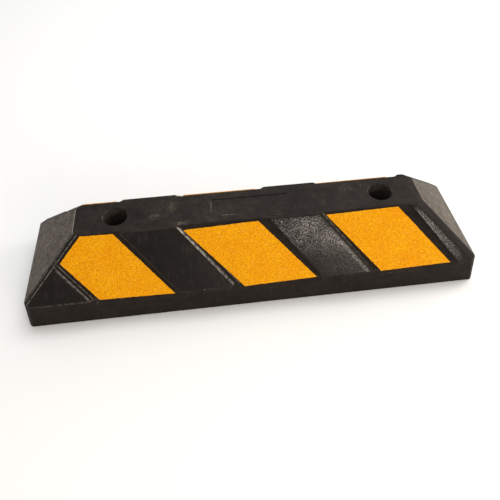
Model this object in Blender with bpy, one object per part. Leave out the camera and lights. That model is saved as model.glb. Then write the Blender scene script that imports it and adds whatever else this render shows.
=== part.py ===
"""Rubber wheel stop: a moulded rubber block with yellow reflective sheets glued into its long slopes.

Metres, +Z up. The origin is at the middle of the base, +X runs along the block and -Y is its front.
The rear slope is the mirror image of the front slope, but its sheets were laid a little differently.
"""

import math

import bmesh
import bpy
from mathutils import Vector

# Overall size of the block
LENGTH = 0.550
WIDTH = 0.150
HEIGHT = 0.097

# Skirt: the near-vertical wall under the slopes
SKIRT_HEIGHT = 0.035
SKIRT_DRAFT = 0.0025

# Flat top
TOP_LENGTH = 0.4085
TOP_WIDTH = 0.056

# Cut corners, measured along each side in plan
BASE_CORNER = 0.003
SKIRT_CORNER = 0.008
TOP_CORNER = 0.009

# Fixing holes, on the middle line of the top
HOLE_SPACING = 0.317
HEAD_HOLE_DIAMETER = 0.0285
HEAD_HOLE_DEPTH = 0.055
BOLT_HOLE_DIAMETER = 0.016
HOLE_SIDES = 32

# Slanted pockets in each long slope, three to a side. Their tops lean towards -X
POCKET_COUNT = 3
POCKET_PITCH = 0.1695
POCKET_SHIFT = -0.005
POCKET_WIDTH = 0.102
POCKET_LEAN = math.radians(37.7)
POCKET_DEPTH = 0.0025
POCKET_DRAFT = math.radians(40)

# Reflective sheets, cut smaller than the pockets and laid by hand, so each sits a little askew
SHEET_NAMES = ("left", "centre", "right")
SHEET_SIDE_SLACK = 0.0075
SHEET_END_SLACK = 0.0028
SHEET_HIP_OVERLAP = 0.0015
SHEET_EXTRA_LEAN = math.radians(2)
SHEET_THICKNESS = 0.0008
SHEET_OFFSETS = (0.0018, 0.0003, -0.0026)
FRONT_SHEET_DROPS = (-0.0010, 0.0006, -0.0005)
FRONT_SHEET_TURNS = (math.radians(-1.1), math.radians(1.5), math.radians(1.1))
REAR_SHEET_DROPS = (-0.0002, -0.0004, -0.0005)
REAR_SHEET_TURNS = (math.radians(-1.6), math.radians(-1.2), math.radians(0.8))
GLUE_GAP = 0.0003

# Hollows moulded into the underside, in two rows
HOLLOW_LENGTH = 0.046
HOLLOW_WIDTH = 0.044
HOLLOW_DEPTH = 0.036
HOLLOW_DRAFT = 0.002
HOLLOW_PITCH = 0.058
HOLLOW_ROW_OFFSET = 0.030
MIDDLE_HOLLOWS = 4
END_HOLLOW_X = 0.221

# Fine line left on the top by an insert in the mould
INSERT_LINE_LENGTH = 0.091
INSERT_LINE_X = 0.0012
INSERT_LINE_Y = 0.0128
INSERT_LINE_WIDTH = 0.0010
INSERT_LINE_DEPTH = 0.0006

# How far a cutter reaches past the surface that it opens
REACH = 0.010

FRONT = -1
REAR = 1

SKIRT_TOP_LENGTH = LENGTH - 2 * SKIRT_DRAFT
SKIRT_TOP_WIDTH = WIDTH - 2 * SKIRT_DRAFT
SLOPE_RUN = (SKIRT_TOP_WIDTH - TOP_WIDTH) / 2
SLOPE_RISE = HEIGHT - SKIRT_HEIGHT
SLOPE_ANGLE = math.atan2(SLOPE_RISE, SLOPE_RUN)
SLOPE_LENGTH = math.hypot(SLOPE_RUN, SLOPE_RISE)

# The floor of a pocket runs from the flat top to the skirt, so it ends past the slope's own edges
FLOOR_TOP = -POCKET_DEPTH / math.tan(SLOPE_ANGLE)
FLOOR_BOTTOM = SLOPE_LENGTH + POCKET_DEPTH * math.tan(SLOPE_ANGLE)


def clear_scene():
    for old in list(bpy.data.objects):
        bpy.data.objects.remove(old, do_unlink=True)


def make_material(name, colour, roughness):
    material = bpy.data.materials.new(name)
    material.use_nodes = True
    shader = material.node_tree.nodes["Principled BSDF"]
    shader.inputs["Base Color"].default_value = (*colour, 1.0)
    shader.inputs["Roughness"].default_value = roughness
    shader.inputs["Metallic"].default_value = 0.0
    return material


def add_object(name, mesh, material=None):
    made = bpy.data.objects.new(name, mesh)
    bpy.context.scene.collection.objects.link(made)
    if material:
        mesh.materials.append(material)
    return made


def add_cutter(name, mesh):
    cutter = add_object(name, mesh)
    cutter.hide_render = True
    cutter.display_type = "WIRE"
    return cutter


def loft(name, rings):
    """A closed mesh through rings of points, which all have the same number of points."""
    shape = bmesh.new()
    loops = [[shape.verts.new(point) for point in ring] for ring in rings]
    count = len(loops[0])
    for lower, upper in zip(loops, loops[1:]):
        for i in range(count):
            j = (i + 1) % count
            shape.faces.new((lower[i], lower[j], upper[j], upper[i]))
    shape.faces.new(reversed(loops[0]))
    shape.faces.new(loops[-1])
    bmesh.ops.recalc_face_normals(shape, faces=shape.faces)
    mesh = bpy.data.meshes.new(name)
    shape.to_mesh(mesh)
    shape.free()
    return mesh


def cut_rectangle(length, width, corner, z, centre=(0.0, 0.0)):
    """A rectangle with its four corners cut off at 45 degrees."""
    x, y = length / 2, width / 2
    quarter = ((x, y - corner), (x - corner, y))
    signs = ((1, 1), (-1, 1), (-1, -1), (1, -1))
    points = []
    for sx, sy in signs:
        ends = quarter if sx == sy else reversed(quarter)
        points += [Vector((centre[0] + sx * px, centre[1] + sy * py, z)) for px, py in ends]
    return points


def circle(radius, x, z):
    step = math.tau / HOLE_SIDES
    return [
        Vector((x + radius * math.cos(i * step), radius * math.sin(i * step), z))
        for i in range(HOLE_SIDES)
    ]


def slope_point(side, x, down, out):
    """The point at x, a distance down the slope from its top edge, and a distance out from it."""
    y = TOP_WIDTH / 2 + down * math.cos(SLOPE_ANGLE) + out * math.sin(SLOPE_ANGLE)
    z = HEIGHT - down * math.sin(SLOPE_ANGLE) + out * math.cos(SLOPE_ANGLE)
    return Vector((x, side * y, z))


def slanted_lines(centre, half_width, half_height, lean, turn=0.0):
    """Four lines (point, outward normal) round a parallelogram on the slope, in x and distance down."""
    across = Vector((math.cos(turn), -math.sin(turn)))
    along = Vector((math.sin(lean + turn), math.cos(lean + turn)))
    side_normal = Vector((along.y, -along.x))
    end_normal = Vector((-across.y, across.x))
    return [
        (centre + across * half_width, side_normal),
        (centre - across * half_width, -side_normal),
        (centre + end_normal * half_height, end_normal),
        (centre - end_normal * half_height, -end_normal),
    ]


def hip_lines(overlap):
    """The lines on a long slope that run down beside its two cut hips, moved out over them."""
    lines = []
    for end in (-1, 1):
        top = Vector((end * (TOP_LENGTH / 2 - TOP_CORNER), 0.0))
        bottom = Vector((end * (SKIRT_TOP_LENGTH / 2 - SKIRT_CORNER), SLOPE_LENGTH))
        along = (bottom - top).normalized()
        outward = Vector((end * along.y, -end * along.x))
        lines.append((top + outward * overlap, outward))
    return lines


def outline(lines, offset=0.0):
    """The corners of the convex region inside all the lines, each moved out by the offset.

    The first corner is the top left one, so outlines with different offsets match corner for corner.
    """
    big = LENGTH
    points = [Vector((-big, -big)), Vector((big, -big)), Vector((big, big)), Vector((-big, big))]
    for point, normal in lines:
        reach = [(p - point).dot(normal) - offset for p in points]
        kept = []
        for i, here in enumerate(points):
            j = (i + 1) % len(points)
            if reach[i] <= 0:
                kept.append(here)
            if (reach[i] < 0) != (reach[j] < 0):
                kept.append(here.lerp(points[j], reach[i] / (reach[i] - reach[j])))
        points = kept
    first = min(range(len(points)), key=lambda i: points[i].x + points[i].y)
    return points[first:] + points[:first]


def pocket_x(index):
    return POCKET_SHIFT + (index - (POCKET_COUNT - 1) / 2) * POCKET_PITCH


def pocket_mesh(side, index):
    """The cutter of one pocket, open at the flat top, at the skirt and at any hip that it reaches."""
    centre = Vector((pocket_x(index), SLOPE_LENGTH / 2))
    half_height = SLOPE_LENGTH / 2 + REACH
    lines = slanted_lines(centre, POCKET_WIDTH / 2, half_height, POCKET_LEAN)
    past_slope = (POCKET_DEPTH + REACH) * math.tan(POCKET_DRAFT)
    rings = [
        [slope_point(side, p.x, p.y, out) for p in outline(lines, offset)]
        for out, offset in ((-POCKET_DEPTH, 0.0), (REACH, past_slope))
    ]
    return loft("pocket_cutter", rings)


def sheet_mesh(name, side, index):
    """One reflective sheet, lying on its glue in the pocket."""
    drops = FRONT_SHEET_DROPS if side == FRONT else REAR_SHEET_DROPS
    turns = FRONT_SHEET_TURNS if side == FRONT else REAR_SHEET_TURNS
    x = pocket_x(index) + SHEET_OFFSETS[index]
    centre = Vector((x, (FLOOR_TOP + FLOOR_BOTTOM) / 2 + drops[index]))
    half_width = POCKET_WIDTH / 2 - SHEET_SIDE_SLACK
    half_height = (FLOOR_BOTTOM - FLOOR_TOP) / 2 - SHEET_END_SLACK
    lean = POCKET_LEAN + SHEET_EXTRA_LEAN
    lines = slanted_lines(centre, half_width, half_height, lean, turns[index])
    lines += hip_lines(SHEET_HIP_OVERLAP)
    shape = outline(lines)
    low = GLUE_GAP - POCKET_DEPTH
    rings = [
        [slope_point(side, p.x, p.y, out) for p in shape]
        for out in (low, low + SHEET_THICKNESS)
    ]
    return loft(name, rings)


def body_mesh():
    rings = (
        cut_rectangle(LENGTH, WIDTH, BASE_CORNER, 0.0),
        cut_rectangle(SKIRT_TOP_LENGTH, SKIRT_TOP_WIDTH, SKIRT_CORNER, SKIRT_HEIGHT),
        cut_rectangle(TOP_LENGTH, TOP_WIDTH, TOP_CORNER, HEIGHT),
    )
    return loft("body", rings)


def fixing_hole_mesh(x):
    """A bolt hole up from the base, with a wider hole for the bolt's head and a socket above it."""
    floor = HEIGHT - HEAD_HOLE_DEPTH
    bolt = BOLT_HOLE_DIAMETER / 2
    head = HEAD_HOLE_DIAMETER / 2
    levels = ((bolt, -REACH), (bolt, floor), (head, floor), (head, HEIGHT + REACH))
    return loft("fixing_hole_cutter", [circle(radius, x, z) for radius, z in levels])


def hollow_mesh(x, y):
    """One hollow in the underside, a little narrower at its roof so that it leaves the mould."""
    size = (HOLLOW_LENGTH, HOLLOW_WIDTH)
    roof = [side - 2 * HOLLOW_DRAFT for side in size]
    corner = 2 * HOLLOW_DRAFT
    rings = (
        cut_rectangle(*size, corner, -REACH, (x, y)),
        cut_rectangle(*size, corner, 0.0, (x, y)),
        cut_rectangle(*roof, corner, HOLLOW_DEPTH, (x, y)),
    )
    return loft("hollow_cutter", rings)


def hollow_places():
    middle = [(i - (MIDDLE_HOLLOWS - 1) / 2) * HOLLOW_PITCH for i in range(MIDDLE_HOLLOWS)]
    for x in (-END_HOLLOW_X, *middle, END_HOLLOW_X):
        for y in (-HOLLOW_ROW_OFFSET, HOLLOW_ROW_OFFSET):
            yield x, y


def insert_line_mesh():
    centre = (INSERT_LINE_X, INSERT_LINE_Y)
    corner = INSERT_LINE_WIDTH / 4
    rings = [
        cut_rectangle(INSERT_LINE_LENGTH, INSERT_LINE_WIDTH, corner, z, centre)
        for z in (HEIGHT - INSERT_LINE_DEPTH, HEIGHT + REACH)
    ]
    return loft("insert_line_cutter", rings)


def cut(target, cutter):
    modifier = target.modifiers.new(cutter.name, "BOOLEAN")
    modifier.operation = "DIFFERENCE"
    modifier.solver = "EXACT"
    modifier.object = cutter


def make_body(rubber):
    body = add_object("body", body_mesh(), rubber)
    meshes = [fixing_hole_mesh(x) for x in (-HOLE_SPACING / 2, HOLE_SPACING / 2)]
    meshes += [pocket_mesh(side, i) for side in (FRONT, REAR) for i in range(POCKET_COUNT)]
    meshes += [hollow_mesh(x, y) for x, y in hollow_places()]
    meshes.append(insert_line_mesh())
    for mesh in meshes:
        cut(body, add_cutter(mesh.name, mesh))


def make_sheets(reflective):
    for side, word in ((FRONT, "front"), (REAR, "rear")):
        for index, place in enumerate(SHEET_NAMES):
            name = f"{word}_reflector_{place}"
            add_object(name, sheet_mesh(name, side, index), reflective.copy())


def main():
    clear_scene()
    make_body(make_material("moulded_rubber", (0.016, 0.014, 0.013), 0.6))
    make_sheets(make_material("reflective_sheet", (0.95, 0.36, 0.01), 0.5))


main()
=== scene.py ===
# %% [markdown]
# # A rubber wheel stop
# A wheel stop is a long rubber block that is bolted to the floor of a car park, so that a tyre
# meets it and stops. Old tyres are ground to crumb, mixed with a binder and pressed in a hot
# steel mould. Strips of yellow reflective sheet are then glued into shallow pockets in its two
# long slopes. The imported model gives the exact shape. This script adds what the eye needs: edges
# that a mould leaves slightly round, rubber with dust on it, and yellow film with glass beads in
# it.

import math

import bmesh
import bpy
from mathutils import Matrix, Vector
from mathutils.noise import noise_vector, seed_set


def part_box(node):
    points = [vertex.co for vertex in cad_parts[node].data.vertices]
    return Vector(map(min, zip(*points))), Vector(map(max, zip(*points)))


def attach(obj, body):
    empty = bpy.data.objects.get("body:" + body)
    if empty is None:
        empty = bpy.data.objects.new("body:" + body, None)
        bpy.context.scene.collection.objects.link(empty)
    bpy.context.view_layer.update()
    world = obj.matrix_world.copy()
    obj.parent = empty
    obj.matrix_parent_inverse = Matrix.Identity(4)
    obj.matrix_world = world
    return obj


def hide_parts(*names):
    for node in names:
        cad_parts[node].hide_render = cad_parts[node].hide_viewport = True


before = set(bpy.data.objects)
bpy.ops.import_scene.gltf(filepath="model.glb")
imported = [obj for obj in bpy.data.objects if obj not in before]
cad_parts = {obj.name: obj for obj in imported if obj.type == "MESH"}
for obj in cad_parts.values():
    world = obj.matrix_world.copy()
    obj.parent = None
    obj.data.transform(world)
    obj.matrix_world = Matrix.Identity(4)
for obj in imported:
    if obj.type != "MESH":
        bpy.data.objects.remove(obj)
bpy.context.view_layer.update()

# %% [markdown]
# ## The camera
# A camera turns round a point near the middle of the block, so its place is given as an azimuth,
# an elevation and a distance from there. Its three axes are worked out as vectors, because that
# makes the small roll of a hand-held shot one more step and not a second rotation to reason
# about.

# %% Place the camera
CAMERA_TARGET = Vector((-0.0008, 0.0, 0.0136))
CAMERA_AZIMUTH = math.radians(-6.587)
CAMERA_ELEVATION = math.radians(48.986)
CAMERA_ROLL = math.radians(-0.79)
CAMERA_DISTANCE = 0.6556
CAMERA_LENS_MM = 35.936


def camera_matrix():
    level = math.cos(CAMERA_ELEVATION)
    back = Vector((
        math.sin(CAMERA_AZIMUTH) * level,
        -math.cos(CAMERA_AZIMUTH) * level,
        math.sin(CAMERA_ELEVATION),
    ))
    right = Vector((math.cos(CAMERA_AZIMUTH), math.sin(CAMERA_AZIMUTH), 0.0))
    up = back.cross(right)
    rolled_right = right * math.cos(CAMERA_ROLL) + up * math.sin(CAMERA_ROLL)
    rolled_up = up * math.cos(CAMERA_ROLL) - right * math.sin(CAMERA_ROLL)
    turn = Matrix((rolled_right, rolled_up, back)).transposed().to_4x4()
    return Matrix.Translation(CAMERA_TARGET + back * CAMERA_DISTANCE) @ turn


camera = bpy.data.objects.new("camera", bpy.data.cameras.new("camera"))
bpy.context.scene.collection.objects.link(camera)
camera.data.lens = CAMERA_LENS_MM
camera.matrix_world = camera_matrix()
bpy.context.scene.camera = camera
print("camera at", tuple(round(value, 3) for value in camera.matrix_world.translation))

# %% [markdown]
# ## Small tools
# Three helpers are used all through: one turns the hex colour that a paint chart would give into
# the linear numbers that a shader works in, one adds a shader node with its settings and links in
# a single call, and one makes an object the only selected one, since an operator acts on all that
# is selected.


# %% Helpers
def linear(hex_colour):
    """The linear colour, with alpha, of an sRGB hex value such as 'FFA60A'."""
    channels = [int(hex_colour[i : i + 2], 16) / 255 for i in (0, 2, 4)]
    curve = [c / 12.92 if c <= 0.04045 else ((c + 0.055) / 1.055) ** 2.4 for c in channels]
    return (*curve, 1.0)


def add_node(tree, kind, inputs, **settings):
    """Adds a node. Each input is a value, or the output socket to link to it."""
    node = tree.nodes.new(kind)
    for name, value in settings.items():
        setattr(node, name, value)
    for name, value in inputs.items():
        if isinstance(value, bpy.types.NodeSocket):
            tree.links.new(value, node.inputs[name])
        else:
            node.inputs[name].default_value = value
    return node


def select_only(thing):
    """Makes the thing active and the only one selected."""
    bpy.ops.object.select_all(action="DESELECT")
    thing.select_set(True)
    bpy.context.view_layer.objects.active = thing


# %% [markdown]
# ## Floor and light
# The block is shown on a plain pale floor. Black rubber has almost no colour of its own, so what
# it reflects decides how it looks. A pale surround gives the end slopes their grey sheen, because
# they are seen at a glancing angle, and one soft lamp low on the right picks out the grain of the
# front slope.

# %% Floor
FLOOR_SIZE = 8.0
FLOOR_GAP = 0.0002  # just under the base, so the two surfaces never coincide

bpy.ops.object.select_all(action="DESELECT")
bpy.ops.mesh.primitive_plane_add(size=FLOOR_SIZE, location=(0.0, 0.0, -FLOOR_GAP))
floor = bpy.context.active_object
floor.name = "floor"
bpy.ops.object.transform_apply(location=True)


def painted_floor():
    """Matt white paint: pale, and too rough to mirror the block."""
    made = bpy.data.materials.new("matt_white_floor_paint")
    made.use_nodes = True
    shader = made.node_tree.nodes["Principled BSDF"]
    shader.inputs["Base Color"].default_value = linear("F4F4F2")
    shader.inputs["Roughness"].default_value = 0.9
    shader.inputs["Specular IOR Level"].default_value = 0.1
    return made


floor.data.materials.append(painted_floor())
print("floor is", FLOOR_SIZE, "m square, in", floor.data.materials[0].name)

# %% Sky and lamps
SKY_STRENGTH = 0.6
LAMPS = (  # name, azimuth and elevation in degrees, distance, size, watts, colour
    ("low_right_lamp", 25, 23, 1.5, (0.7, 0.45), 8, "FFEEDC"),
    ("side_window", 109, 18, 1.6, (0.8, 0.5), 10, "FFFAF4"),
    ("overhead_lamp", 150, 65, 2.0, (1.6, 1.2), 20, "FFFFFF"),
)


def sky_world():
    """An even white surround, as a studio's walls and ceiling give."""
    world = bpy.data.worlds.new("studio")
    world.use_nodes = True
    background = world.node_tree.nodes["Background"]
    background.inputs["Color"].default_value = linear("FFFFFF")
    background.inputs["Strength"].default_value = SKY_STRENGTH
    return world


def softbox(name, azimuth, elevation, distance, size, watts, colour):
    """A lamp that faces the block. Its azimuth is measured from -Y towards +X."""
    level = math.cos(elevation)
    away = Vector((math.sin(azimuth) * level, -math.cos(azimuth) * level, math.sin(elevation)))
    lamp = bpy.data.objects.new(name, bpy.data.lights.new(name, "AREA"))
    bpy.context.scene.collection.objects.link(lamp)
    lamp.data.shape = "RECTANGLE"
    lamp.data.size, lamp.data.size_y = size
    lamp.data.energy = watts
    lamp.data.color = linear(colour)[:3]
    lamp.location = away * distance
    lamp.rotation_euler = away.to_track_quat("Z", "Y").to_euler()
    return lamp


bpy.context.scene.world = sky_world()
bpy.context.scene.view_settings.view_transform = "Standard"
for name, azimuth, elevation, distance, size, watts, colour in LAMPS:
    softbox(name, math.radians(azimuth), math.radians(elevation), distance, size, watts, colour)
    print(name, "gives", watts, "W from", distance, "m")

# %% [markdown]
# ## The block
# The real block comes out of its mould with every edge slightly round, because a sharp corner in
# a steel mould fills badly and soon chips. It could be modelled again from a cube, but the packed
# body already holds each pocket, bore and hollow at its true place. So its mesh is copied, its
# loose triangles are merged back into whole faces, and a bevel modifier rounds the edges.


# %% Copy a CAD node as a clean mesh
MERGE = 0.00001
FLAT = math.radians(0.5)


def clean_copy(node, name):
    """A new object with the node's mesh, merged, and with flat areas as single faces."""
    made = bpy.data.objects.new(name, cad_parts[node].data.copy())
    bpy.context.scene.collection.objects.link(made)
    made.data.materials.clear()
    select_only(made)
    bpy.ops.object.mode_set(mode="EDIT")
    bpy.ops.mesh.select_all(action="SELECT")
    bpy.ops.mesh.remove_doubles(threshold=MERGE)
    bpy.ops.mesh.dissolve_limited(angle_limit=FLAT)
    bpy.ops.object.mode_set(mode="OBJECT")
    print(name, "has", len(made.data.polygons), "faces")
    return made


block = clean_copy("body", "block")

# %% Round the edges
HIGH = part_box("body")[1]
EDGE_ROUND = 0.0011
EDGE_STEPS = 3
SHARP = math.radians(20)
SMOOTH = math.radians(35)


def round_edges(thing, width, steps):
    """Bevels each sharp edge and shades the result smooth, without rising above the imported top."""
    select_only(thing)
    bevel = thing.modifiers.new("round", "BEVEL")
    bevel.width = width
    bevel.segments = steps
    bevel.limit_method = "ANGLE"
    bevel.angle_limit = SHARP
    bevel.use_clamp_overlap = False
    bpy.ops.object.modifier_apply(modifier=bevel.name)
    for point in thing.data.vertices:  # the bevel swells where a groove is narrower than itself
        point.co.z = min(point.co.z, HIGH[2])
    bpy.ops.object.shade_smooth_by_angle(angle=SMOOTH)
    print(thing.name, "now has", len(thing.data.polygons), "faces")


round_edges(block, EDGE_ROUND, EDGE_STEPS)

# %% [markdown]
# ## Moulded crumb rubber
# The rubber is pressed from tyre crumb, so it has a fine grain and no gloss except where the
# mould was polished. Those are the long slopes. Grey-brown dust lies on the top and the skirt,
# and the end slopes are chalky, with a painted grazing sheen. One material covers the whole block,
# as one batch of rubber does on the real one, and masks decide what each place looks like. A mask
# is a number from 0 to 1 that is worked out from the way a surface faces and from how far it lies
# from a plane of the block. Nothing has to be painted by hand.


# %% Shader arithmetic
SPECK_CORE = 0.7  # the share of a speck's radius that is fully light


def calc(tree, operation, first, second=0.0):
    """One step of arithmetic on numbers or sockets."""
    node = add_node(tree, "ShaderNodeMath", {0: first, 1: second}, operation=operation)
    return node.outputs[0]


def product(tree, *factors):
    """Where all the masks hold."""
    result = factors[0]
    for factor in factors[1:]:
        result = calc(tree, "MULTIPLY", result, factor)
    return result


def ramp(tree, value, low, high, start=0.0, end=1.0):
    """start below low and end above high, with a straight slope between."""
    node = add_node(tree, "ShaderNodeMapRange", {0: value, 1: low, 2: high, 3: start, 4: end})
    return node.outputs[0]


def near(tree, value, middle, reach):
    """1 where the value is at the middle, falling to 0 from reach away."""
    gap = calc(tree, "ABSOLUTE", calc(tree, "SUBTRACT", value, middle))
    return ramp(tree, gap, reach, 0.0)


def mix(tree, factor, first, second, blend="MIX"):
    """The first colour where the factor is 0 and the second, or their blend, where it is 1."""
    inputs = {0: factor, 6: first, 7: second}
    node = add_node(tree, "ShaderNodeMix", inputs, data_type="RGBA", blend_type=blend)
    return node.outputs[2]


def noise(tree, place, size, detail=2.0, roughness=0.5):
    """A cloudy field near 0.5, whose largest blots are about the size."""
    inputs = {"Vector": place, "Scale": 1 / size, "Detail": detail, "Roughness": roughness}
    return add_node(tree, "ShaderNodeTexNoise", inputs).outputs["Fac"]


def stretched(tree, place, stretch):
    """The place with each axis divided by how many times longer the pattern is along it."""
    scale = tuple(1 / value for value in stretch)
    return add_node(tree, "ShaderNodeMapping", {"Vector": place, "Scale": scale}).outputs[0]


def specks(tree, place, spacing, radius):
    """1 in small round dots that lie about a spacing apart, and 0 between them."""
    inputs = {"Vector": place, "Scale": 1 / spacing}
    distance = add_node(tree, "ShaderNodeTexVoronoi", inputs).outputs["Distance"]
    return ramp(tree, distance, radius / spacing, SPECK_CORE * radius / spacing)


# %% The block's planes
HALF_TOP = 0.028
HALF_TOP_LENGTH = 0.20425
SKIRT_HEIGHT = 0.035
HALF_SKIRT = 0.0725
HALF_SKIRT_LENGTH = 0.2725
POCKET_LEAN = math.radians(37.7)
BORE_X = 0.1585
BORE_RADIUS = 0.0143
MIDDLE_HEIGHT = (HIGH[2] + SKIRT_HEIGHT) / 2
SLOPE_ANGLE = math.atan2(HIGH[2] - SKIRT_HEIGHT, HALF_SKIRT - HALF_TOP)
END_ANGLE = math.atan2(HIGH[2] - SKIRT_HEIGHT, HALF_SKIRT_LENGTH - HALF_TOP_LENGTH)
print("slopes lean back", round(math.degrees(SLOPE_ANGLE), 1), "degrees")
print("ends lean back", round(math.degrees(END_ANGLE), 1), "degrees")


def level_above(tree, across, z, edge, angle):
    """How far a place lies above a slope that starts at the top's edge and falls at the angle."""
    out = calc(tree, "SUBTRACT", calc(tree, "ABSOLUTE", across), edge)
    up = calc(tree, "SUBTRACT", z, HIGH[2])
    out = calc(tree, "MULTIPLY", out, math.sin(angle))
    up = calc(tree, "MULTIPLY", up, math.cos(angle))
    return calc(tree, "ADD", out, up)


# %% Where the rubber's zones are
# Each pair says where a mask starts and where it is full. The first ten are parts of a unit normal.
SLOPE_OUTWARDS, SLOPE_UPWARDS = (0.72, 0.80), (0.3, 0.5)
HIP_SIDEWAYS = (0.38, 0.20)  # here the middle, and how far the mask reaches from it
HIP_OUTWARDS, HIP_UPWARDS = (0.25, 0.35), (0.6, 0.7)
END_SIDEWAYS, END_OUTWARDS = (0.55, 0.64), (0.2, 0.12)
WALL_SIDEWAYS, WALL_OUTWARDS = (0.40, 0.52), (0.12, 0.2)
TOP_UPWARDS = (0.90, 0.98)
BAND_DEPTH = (-0.0014, -0.0006)  # the raised bands, and not the floor of a pocket
SLOPE_DEPTH = (-0.006, -0.005)  # the bands and the pockets
LAST_WALL_X = (0.16, 0.15)  # the walls past this place face away from the light
BORE_EDGE = (0.0003, -0.0001)  # past the bore's radius
EDGE_BLUR = 0.001
NOT_ZERO = 0.00001  # keeps the share across a hip defined on the line where both levels are 0


def zones(tree):
    """Masks and distances that tell the parts of the block's surface from each other."""
    place = add_node(tree, "ShaderNodeTexCoord", {}).outputs["Object"]
    facing = add_node(tree, "ShaderNodeNewGeometry", {}).outputs["True Normal"]
    x, y, z = add_node(tree, "ShaderNodeSeparateXYZ", {0: place}).outputs
    facing_x, facing_y, facing_z = add_node(tree, "ShaderNodeSeparateXYZ", {0: facing}).outputs
    sideways = calc(tree, "ABSOLUTE", facing_x)
    outwards = calc(tree, "ABSOLUTE", facing_y)
    over_slope = level_above(tree, y, z, HALF_TOP, SLOPE_ANGLE)
    over_end = level_above(tree, x, z, HALF_TOP_LENGTH, END_ANGLE)
    is_slope = product(
        tree, ramp(tree, outwards, *SLOPE_OUTWARDS), ramp(tree, facing_z, *SLOPE_UPWARDS)
    )
    is_hip = product(
        tree, near(tree, sideways, *HIP_SIDEWAYS), ramp(tree, outwards, *HIP_OUTWARDS),
        ramp(tree, facing_z, *HIP_UPWARDS),
    )
    from_bore = calc(tree, "SUBTRACT", calc(tree, "ABSOLUTE", x), BORE_X)
    squared = calc(tree, "ADD", product(tree, from_bore, from_bore), product(tree, y, y))
    reach = calc(tree, "SQRT", squared)
    bore = ramp(tree, reach, *(BORE_RADIUS + past for past in BORE_EDGE))
    outside = calc(tree, "SUBTRACT", 1.0, bore)
    lean = math.tan(POCKET_LEAN) / math.sin(SLOPE_ANGLE)
    shift = calc(tree, "MULTIPLY", calc(tree, "SUBTRACT", z, MIDDLE_HEIGHT), lean)
    both = calc(tree, "ADD", over_end, over_slope)
    return {
        "place": place,
        "x": x,
        "y": y,
        "z": z,
        "along": calc(tree, "ADD", x, shift),
        "bore": bore,
        "end": product(
            tree, ramp(tree, sideways, *END_SIDEWAYS), ramp(tree, outwards, *END_OUTWARDS), outside,
            ramp(tree, z, SKIRT_HEIGHT - EDGE_BLUR, SKIRT_HEIGHT + EDGE_BLUR),
        ),
        "top": ramp(tree, facing_z, *TOP_UPWARDS),
        "band": product(tree, is_slope, ramp(tree, over_slope, *BAND_DEPTH)),
        "hip": ramp(tree, is_hip, 0.1, 0.6),
        "across_hip": calc(tree, "DIVIDE", over_end, calc(tree, "SUBTRACT", both, NOT_ZERO)),
        "lit_wall": product(
            tree, ramp(tree, facing_x, *WALL_SIDEWAYS), ramp(tree, outwards, *WALL_OUTWARDS),
            ramp(tree, z, SKIRT_HEIGHT, SKIRT_HEIGHT + EDGE_BLUR), outside,
            ramp(tree, x, *LAST_WALL_X),
        ),
        "slope": ramp(tree, over_slope, *SLOPE_DEPTH),
        "skirt": ramp(tree, z, SKIRT_HEIGHT + EDGE_BLUR / 2, SKIRT_HEIGHT - EDGE_BLUR / 2),
    }


# %% [markdown]
# ### Painted highlights, wear and dust
# Light catches the walls and rims of the pockets, the two edges of the left end's hip and that
# end's top edge, and these highlights are painted into the rubber's colour. A wheel stop that has
# been handled also shows light marks where something was dragged over the top. Each mark is a
# narrow band round a line, broken up by noise, so that no mark is ruled from end to end.

# %% Painted highlights along the pockets and corners
# Painted highlights along the pockets' walls and rims.
POCKET_HIGHLIGHTS = (  # place along the block at half height, half width, strength, highest point
    (-0.2272, 0.0008, 0.42, 0.097),
    (-0.2222, 0.0009, 0.45, 0.097),
    (-0.1240, 0.0008, 0.22, 0.097),
    (-0.0570, 0.0015, 0.45, 0.097),
    (-0.0506, 0.0010, 0.30, 0.060),
)
# A grainy highlight is painted along this rim.
LIT_LIP = 0.1050  # the rough rim at the right edge of the wide black band
BRIGHTEST_LIT_WALL = -0.0545  # the painted highlight is brightest on the wall beside the centre sheet
LIP_REACH = 0.0042
LIP_HEIGHT = (0.050, 0.034)  # middle and reach
LIP_STRENGTH = 0.55
# Painted highlights along the two edges of the left end's hip.
HIP_EDGE_HIGHLIGHTS = ((0.06, 0.09, 0.45), (0.42, 0.09, 0.48))  # share of the way across, width, strength
LEFT_END_X = (-0.15, -0.16)
MARK_PATCH_SIZE = 0.0045
LIP_GRAIN_SIZE = 0.0016


def strongest(tree, masks):
    """Where any of the masks holds."""
    result = masks[0]
    for mask in masks[1:]:
        result = calc(tree, "MAXIMUM", result, mask)
    return result


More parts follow.
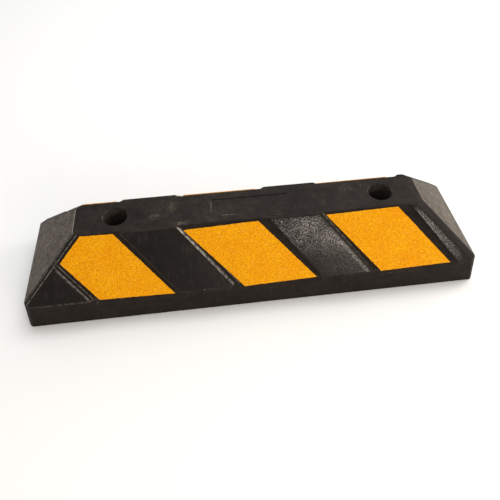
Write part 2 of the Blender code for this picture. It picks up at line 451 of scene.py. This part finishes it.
def line_highlights(tree, zone):
    """Painted highlights on the pockets' rims and walls, and along the left end's two mould corners
    and its top edge.
    """
    place, along, z = zone["place"], zone["along"], zone["z"]
    patchy = ramp(tree, noise(tree, place, MARK_PATCH_SIZE, 5.0, 0.75), 0.38, 0.60, 0.08, 1.0)
    on_slope = product(tree, zone["slope"], calc(tree, "SUBTRACT", 1.0, zone["end"]))
    on_slope = product(tree, on_slope, ramp(tree, z, SKIRT_HEIGHT, SKIRT_HEIGHT + EDGE_BLUR))
    on_slope = product(tree, on_slope, ramp(tree, z, HIGH[2] - 0.0005, HIGH[2] - 0.0015))
    masks = []
    for middle, half, strength, highest in POCKET_HIGHLIGHTS:
        below = ramp(tree, z, highest, highest - 0.002)
        line = near(tree, along, middle, half)
        masks.append(product(tree, line, on_slope, below, patchy, strength))
    # Painted highlight on the walls that face the light, brightest beside the centre sheet.
    wear_and_highlight = ramp(tree, near(tree, along, BRIGHTEST_LIT_WALL, 0.008), 0.0, 0.4, 0.22, 1.0)
    walls = product(tree, zone["lit_wall"], ramp(tree, z, 0.040, 0.092, 0.35, 1.0), patchy, wear_and_highlight)
    masks.append(walls)
    # A grainy painted highlight along the wide black band's right rim.
    fine_grain = ramp(tree, noise(tree, place, LIP_GRAIN_SIZE, 2.0, 0.6), 0.42, 0.62)
    lip_highlight = product(tree, near(tree, along, LIT_LIP, LIP_REACH), on_slope, fine_grain)
    lip_height = ramp(tree, near(tree, z, *LIP_HEIGHT), 0, 0.5)
    masks.append(product(tree, lip_highlight, lip_height, LIP_STRENGTH))
    left = ramp(tree, zone["x"], *LEFT_END_X)
    # Painted highlights along the two edges of the left end's hip.
    for middle, half, strength in HIP_EDGE_HIGHLIGHTS:
        line = near(tree, zone["across_hip"], middle, half)
        masks.append(product(tree, line, zone["hip"], left, patchy, strength))
    # Painted highlight along the left end slope's top edge.
    top_edge = product(tree, near(tree, z, HIGH[2] - 0.0012, 0.0012), zone["end"], left)
    masks.append(product(tree, top_edge, 0.5))
    return strongest(tree, masks)


# %% Scuffs and dust
SCUFFS = (  # place on the top (x, y), half length along x and y, strength
    (-0.047, 0.002, 0.0010, 0.0100, 0.30),
    (-0.025, -0.0150, 0.0140, 0.0011, 0.26),
    (-0.093, 0.008, 0.0070, 0.0130, 0.13),
    (-0.084, -0.0215, 0.0090, 0.0035, 0.26),
    (-0.113, -0.0060, 0.0100, 0.0060, 0.12),
    (-0.150, 0.0010, 0.0040, 0.0100, 0.08),
    (0.120, 0.0120, 0.0120, 0.0080, 0.08),
)
STROKE_WANDER = 0.006
STROKE_WANDER_SIZE = 0.010
STROKE_PATCH_SIZE = 0.0028
DUST_LINE_SIZE = 0.006
DUST_LINE_X = (-0.195, 0.085)  # middle and reach along the block
CRUMBS = (0.0042, 0.0006)  # loose crumb on the skirt: how far apart, and radius
CRUMBS_Z, CRUMBS_X = (0.0325, 0.004), (-0.178, 0.028)
FLECKS = (0.0065, 0.0008)  # flecks under the top's right-hand edge
FLECKS_Z = (0.0935, 0.0025)
DUST_SPECKS = (0.024, 0.0006)  # a few anywhere


def scuff_marks(tree, zone):
    """Short soft strokes on the top, and the broken dust line along the skirt's upper edge."""
    place, x, y, z = (zone[name] for name in ("place", "x", "y", "z"))
    patchy = ramp(tree, noise(tree, place, STROKE_PATCH_SIZE, 4.0, 0.7), 0.42, 0.62)
    wander = calc(tree, "SUBTRACT", noise(tree, place, STROKE_WANDER_SIZE, 2.0), 0.5)
    wander = calc(tree, "MULTIPLY", wander, STROKE_WANDER)
    x = calc(tree, "ADD", x, wander)
    y = calc(tree, "ADD", y, wander)
    masks = []
    for middle_x, middle_y, reach_x, reach_y, strength in SCUFFS:
        stroke = product(tree, near(tree, x, middle_x, reach_x), near(tree, y, middle_y, reach_y))
        stroke = ramp(tree, stroke, 0.0, 0.6)
        masks.append(product(tree, stroke, zone["top"], patchy, strength))
    edge = near(tree, z, SKIRT_HEIGHT - 0.0006, 0.0018)
    ragged = ramp(tree, noise(tree, place, DUST_LINE_SIZE, 4.0, 0.7), 0.40, 0.70)
    span = ramp(tree, near(tree, x, *DUST_LINE_X), 0.0, 0.5)
    masks.append(product(tree, edge, ragged, ramp(tree, span, 0, 1, 0.05, 0.20)))
    crumbs = product(tree, specks(tree, place, *CRUMBS), near(tree, z, *CRUMBS_Z))
    crumbs = product(tree, crumbs, near(tree, x, *CRUMBS_X), 1.2)
    masks.append(crumbs)
    flecks = product(tree, specks(tree, place, *FLECKS), near(tree, z, *FLECKS_Z))
    masks.append(product(tree, flecks, ramp(tree, x, 0.01, 0.02), ramp(tree, x, 0.11, 0.10), 1.2))
    masks.append(product(tree, specks(tree, place, *DUST_SPECKS), 0.55))
    return strongest(tree, masks)


# %% The sheen of the polished mould
SHINY_FROM_X = 0.010
WIDE_BAND_END = (0.108, 0.103)  # along the block at half height
WIDE_BAND_FADE = (0.056, 0.085)  # heights between which the gloss grows
STRIP_FADE = (0.045, 0.086)
WORN_SIZE = 0.016
RAGGED_SIZE = 0.004
SPARKLE_SIZE = 0.0015
STRIP_MIDDLE = (0.2198, 0.0655)  # along the block at half height, and height
STRIP_REACH = (0.0112, 0.0285)


def sheen(tree, zone):
    """Full at the top of the right-hand bands, weaker towards the skirt, with dull margins."""
    along, z = zone["along"], zone["z"]
    shiny = ramp(tree, zone["x"], SHINY_FROM_X, SHINY_FROM_X + 0.02)
    fade = ramp(tree, z, *WIDE_BAND_FADE, 0.17, 1.35)
    worn = ramp(tree, noise(tree, zone["place"], WORN_SIZE, 4.0, 0.6), 0.35, 0.62, 0.45, 1.0)
    wide_band = ramp(tree, along, *WIDE_BAND_END)
    wide_band = product(tree, wide_band, fade, worn)
    side = calc(tree, "DIVIDE", calc(tree, "SUBTRACT", along, STRIP_MIDDLE[0]), STRIP_REACH[0])
    height = calc(tree, "DIVIDE", calc(tree, "SUBTRACT", z, STRIP_MIDDLE[1]), STRIP_REACH[1])
    oval = calc(
        tree, "ADD",
        calc(tree, "POWER", calc(tree, "ABSOLUTE", side), 2.0),
        calc(tree, "POWER", calc(tree, "ABSOLUTE", height), 4.0),
    )
    ragged = ramp(tree, noise(tree, zone["place"], RAGGED_SIZE, 3.0, 0.6), 0.3, 0.7, -0.35, 0.35)
    oval = calc(tree, "ADD", oval, ragged)
    strip = product(tree, ramp(tree, oval, 1.15, 0.6), ramp(tree, z, *STRIP_FADE, 0.45, 0.80))
    sparkle = ramp(tree, noise(tree, zone["place"], SPARKLE_SIZE, 2.0, 0.6), 0.40, 0.62, 0.05, 1.75)
    both = calc(tree, "MAXIMUM", wide_band, strip)
    return product(tree, both, shiny, zone["band"], sparkle)


# %% The rubber's material
CRUMB_SIZE = 0.0022  # real crumb is near 1 mm: drawn coarser, so that it shows at arm's length
CRUMB_DEPTH = 0.0004
DUST_CLOUD_SIZE = 0.030
BLOTCH_SIZE = 0.009
STREAK_SIZE, STREAK_STRETCH = 0.0035, (9.0, 1.0, 9.0)  # the chalk runs down the end slopes
WIPE_SIZE, WIPE_STRETCH = 0.0045, (1.0, 5.0, 7.0)
HIGH_SKIRT = (0.024, 0.034)
RUBBED_TOP = (-0.055, 0.080)  # middle and reach along the block


def crumb_rubber():
    """Near-black pressed tyre crumb: a fine rough grain, brown where dusty, chalky with a painted
    grazing sheen at the ends, paler in the bores as painted light, and with painted highlights along
    the pockets and corners.
    """
    made = bpy.data.materials.new("compression_moulded_crumb_rubber")
    made.use_nodes = True
    tree = made.node_tree
    shader = tree.nodes["Principled BSDF"]
    zone = zones(tree)
    place = zone["place"]
    clouds = ramp(tree, noise(tree, place, DUST_CLOUD_SIZE, 6.0, 0.7), 0.34, 0.66)
    blotches = noise(tree, place, BLOTCH_SIZE, 4.0, 0.65)
    streaks = noise(tree, stretched(tree, place, STREAK_STRETCH), STREAK_SIZE, 3.0, 0.6)
    crumb = noise(tree, place, CRUMB_SIZE, 3.0, 0.6)

    shade = mix(tree, clouds, linear("221A14"), linear("2E251D"))
    high_skirt = product(tree, zone["skirt"], ramp(tree, zone["z"], *HIGH_SKIRT), clouds, 0.5)
    shade = mix(tree, high_skirt, shade, linear("3A332C"))
    shade = mix(tree, zone["top"], shade, mix(tree, clouds, linear("231C18"), linear("38302A")))
    wear_and_highlight = product(tree, zone["top"], near(tree, zone["x"], *RUBBED_TOP), blotches)
    shade = mix(tree, product(tree, wear_and_highlight, 0.55), shade, linear("4A4039"))
    shade = mix(tree, zone["band"], shade, mix(tree, clouds, linear("1A1512"), linear("251E1A")))
    wiped = noise(tree, stretched(tree, place, WIPE_STRETCH), WIPE_SIZE, 3.0, 0.6)
    wiped = product(tree, ramp(tree, wiped, 0.55, 0.72), zone["band"], blotches, 0.22)
    shade = mix(tree, wiped, shade, linear("6E645A"))
    # Dust and a painted grazing sheen: the end slopes are made pale grey.
    chalk_and_sheen = mix(tree, clouds, linear("665C52"), linear("84796C"))
    chalk_and_sheen = mix(tree, ramp(tree, streaks, 0.35, 0.7, 0.0, 0.55), chalk_and_sheen, linear("8A7F72"))
    shade = mix(tree, zone["end"], shade, chalk_and_sheen)
    # Painted light: the bores' walls are a paler colour than the rubber, to lift the shade deep
    # inside them.
    shade = mix(tree, zone["bore"], shade, linear("473E37"))
    patch = mix(tree, ramp(tree, blotches, 0.35, 0.65), linear("B4B4B4"), linear("FFFFFF"))
    shade = mix(tree, 0.75, shade, patch, "MULTIPLY")
    grain = mix(tree, ramp(tree, crumb, 0.3, 0.7), linear("8C8C8C"), linear("FFFFFF"))
    shade = mix(tree, ramp(tree, zone["end"], 0, 1, 0.75, 1.0), shade, grain, "MULTIPLY")
    # Painted highlights in pale grey along the pockets' walls and rims and the left end's corners.
    shade = mix(tree, line_highlights(tree, zone), shade, linear("B9B2A8"))
    shade = mix(tree, scuff_marks(tree, zone), shade, linear("B8A98F"))
    tree.links.new(shade, shader.inputs["Base Color"])

    shiny = sheen(tree, zone)
    tree.links.new(shiny, shader.inputs["Coat Weight"])
    shader.inputs["Coat Roughness"].default_value = 0.20
    tree.links.new(ramp(tree, zone["band"], 0, 1, 0.7, 0.45), shader.inputs["Roughness"])
    shader.inputs["Specular IOR Level"].default_value = 0.15
    depth = ramp(tree, shiny, 0, 0.5, 0.45, 1.0)
    bump = add_node(
        tree, "ShaderNodeBump", {"Strength": depth, "Distance": CRUMB_DEPTH, "Height": crumb}
    )
    tree.links.new(bump.outputs[0], shader.inputs["Normal"])
    tree.links.new(bump.outputs[0], shader.inputs["Coat Normal"])
    return made


block.data.materials.append(crumb_rubber())
for material in block.data.materials:
    print(material.name, "has", len(material.node_tree.nodes), "shader nodes")
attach(block, "root")
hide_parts("body")

# %% [markdown]
# ## The reflective sheets
# Each sheet is a plastic film full of tiny glass beads that send a headlamp's light back to the
# driver. It is cut by hand with a knife and glued down, so its edges are never quite straight.
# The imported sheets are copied, their long edges are divided into short lengths, and each point is
# moved a little within the plane of the film by a noise field, which is seeded, so that the
# wander is the same on every run.

# %% Cut the sheets
SIDES = ("front", "rear")
PLACES = ("left", "centre", "right")
LONG_EDGE = 0.005
CUTS = 39
CUT_WANDER = 0.0004  # how far a hand-held knife strays
WANDER_LENGTH = 0.004
WANDER_SEED = 3


def divide_long_edges(thing):
    """Cuts each long edge into equal short lengths, so that it can wander."""
    select_only(thing)
    bpy.ops.object.mode_set(mode="EDIT")
    bpy.ops.mesh.select_mode(type="EDGE")
    bpy.ops.mesh.select_all(action="DESELECT")
    shape = bmesh.from_edit_mesh(thing.data)
    for edge in shape.edges:
        edge.select_set(edge.calc_length() > LONG_EDGE)
    bmesh.update_edit_mesh(thing.data)
    bpy.ops.mesh.subdivide(number_cuts=CUTS)
    bpy.ops.object.mode_set(mode="OBJECT")


def hand_cut(thing, side):
    """Moves each point a little within the plane of the film, and gives its cut edge slot 1."""
    facing = Vector((0.0, side * math.sin(SLOPE_ANGLE), math.cos(SLOPE_ANGLE)))
    for face in thing.data.polygons:
        face.material_index = int(abs(face.normal.dot(facing)) < 0.5)
    for point in thing.data.vertices:
        move = noise_vector(point.co / WANDER_LENGTH) * CUT_WANDER
        point.co += move - facing * move.dot(facing)


# %% Glass-beaded film
GLINT_SIZE = 0.0015
# Beads are near 0.1 mm across. A bead would never show, so clumps of them are drawn.
BEAD_CLUMP_SIZE = 0.0016
FILM_CLOUD_SIZE = 0.020
EDGE_DIRT_AND_SHADE_SIZE = 0.003
YELLOW_EDGE_Z = (0.089, 0.092)  # the cut edge is yellow at the film's top edge and dark below it


def beaded_film():
    """Satin yellow plastic over glass beads: an orange-peel grain, paler where beads glint."""
    made = bpy.data.materials.new("glass_beaded_yellow_film")
    made.use_nodes = True
    tree = made.node_tree
    shader = tree.nodes["Principled BSDF"]
    place = add_node(tree, "ShaderNodeTexCoord", {}).outputs["Object"]
    beads = ramp(tree, noise(tree, place, BEAD_CLUMP_SIZE, 2.0, 0.6), 0.3, 0.7)
    clouds = ramp(tree, noise(tree, place, FILM_CLOUD_SIZE, 3.0, 0.6), 0.35, 0.7)
    fine = mix(tree, beads, linear("CC7C00"), linear("FFB604"))
    glints = ramp(tree, noise(tree, place, GLINT_SIZE, 2.0, 0.6), 0.55, 0.70, 0.0, 0.38)
    fine = mix(tree, glints, fine, linear("FFD05A"))
    tint = mix(tree, calc(tree, "MULTIPLY", clouds, 0.4), fine, linear("E58700"))
    tree.links.new(tint, shader.inputs["Base Color"])
    shader.inputs["Roughness"].default_value = 0.55
    shader.inputs["Specular IOR Level"].default_value = 0.06
    bump = add_node(tree, "ShaderNodeBump", {"Strength": 1.0, "Distance": 0.0003, "Height": beads})
    tree.links.new(bump.outputs[0], shader.inputs["Normal"])
    return made


def cut_edge():
    """The knife-cut edge of the film, where the clear plastic has picked up dirt: dark brown with
    dirt and painted shade, and yellow at the film's top edge.
    """
    made = bpy.data.materials.new("dirty_and_shaded_cut_film_edge")
    made.use_nodes = True
    tree = made.node_tree
    shader = tree.nodes["Principled BSDF"]
    place = add_node(tree, "ShaderNodeTexCoord", {}).outputs["Object"]
    # Dirt and painted shade: the cut edge is dark brown below the film's top edge.
    dirt_and_shade = noise(tree, place, EDGE_DIRT_AND_SHADE_SIZE, 2.0, 0.6)
    shade = mix(tree, dirt_and_shade, linear("4A2A08"), linear("8A4E0C"))
    place_z = add_node(tree, "ShaderNodeSeparateXYZ", {0: place}).outputs[2]
    shade = mix(tree, ramp(tree, place_z, *YELLOW_EDGE_Z), shade, linear("E39A0C"))
    tree.links.new(shade, shader.inputs["Base Color"])
    shader.inputs["Roughness"].default_value = 0.7
    return made


film_finish = (beaded_film(), cut_edge())
seed_set(WANDER_SEED)  # unseeded, the field differs on every run
for side_name, side in zip(SIDES, (-1, 1)):
    for place_name in PLACES:
        node = f"{side_name}_reflector_{place_name}"
        film = clean_copy(node, f"{side_name}_film_{place_name}")
        for finish in film_finish:
            film.data.materials.append(finish)
        divide_long_edges(film)
        hand_cut(film, side)
        print(film.name, "now has", len(film.data.vertices), "points")
        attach(film, "root")
        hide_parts(node)
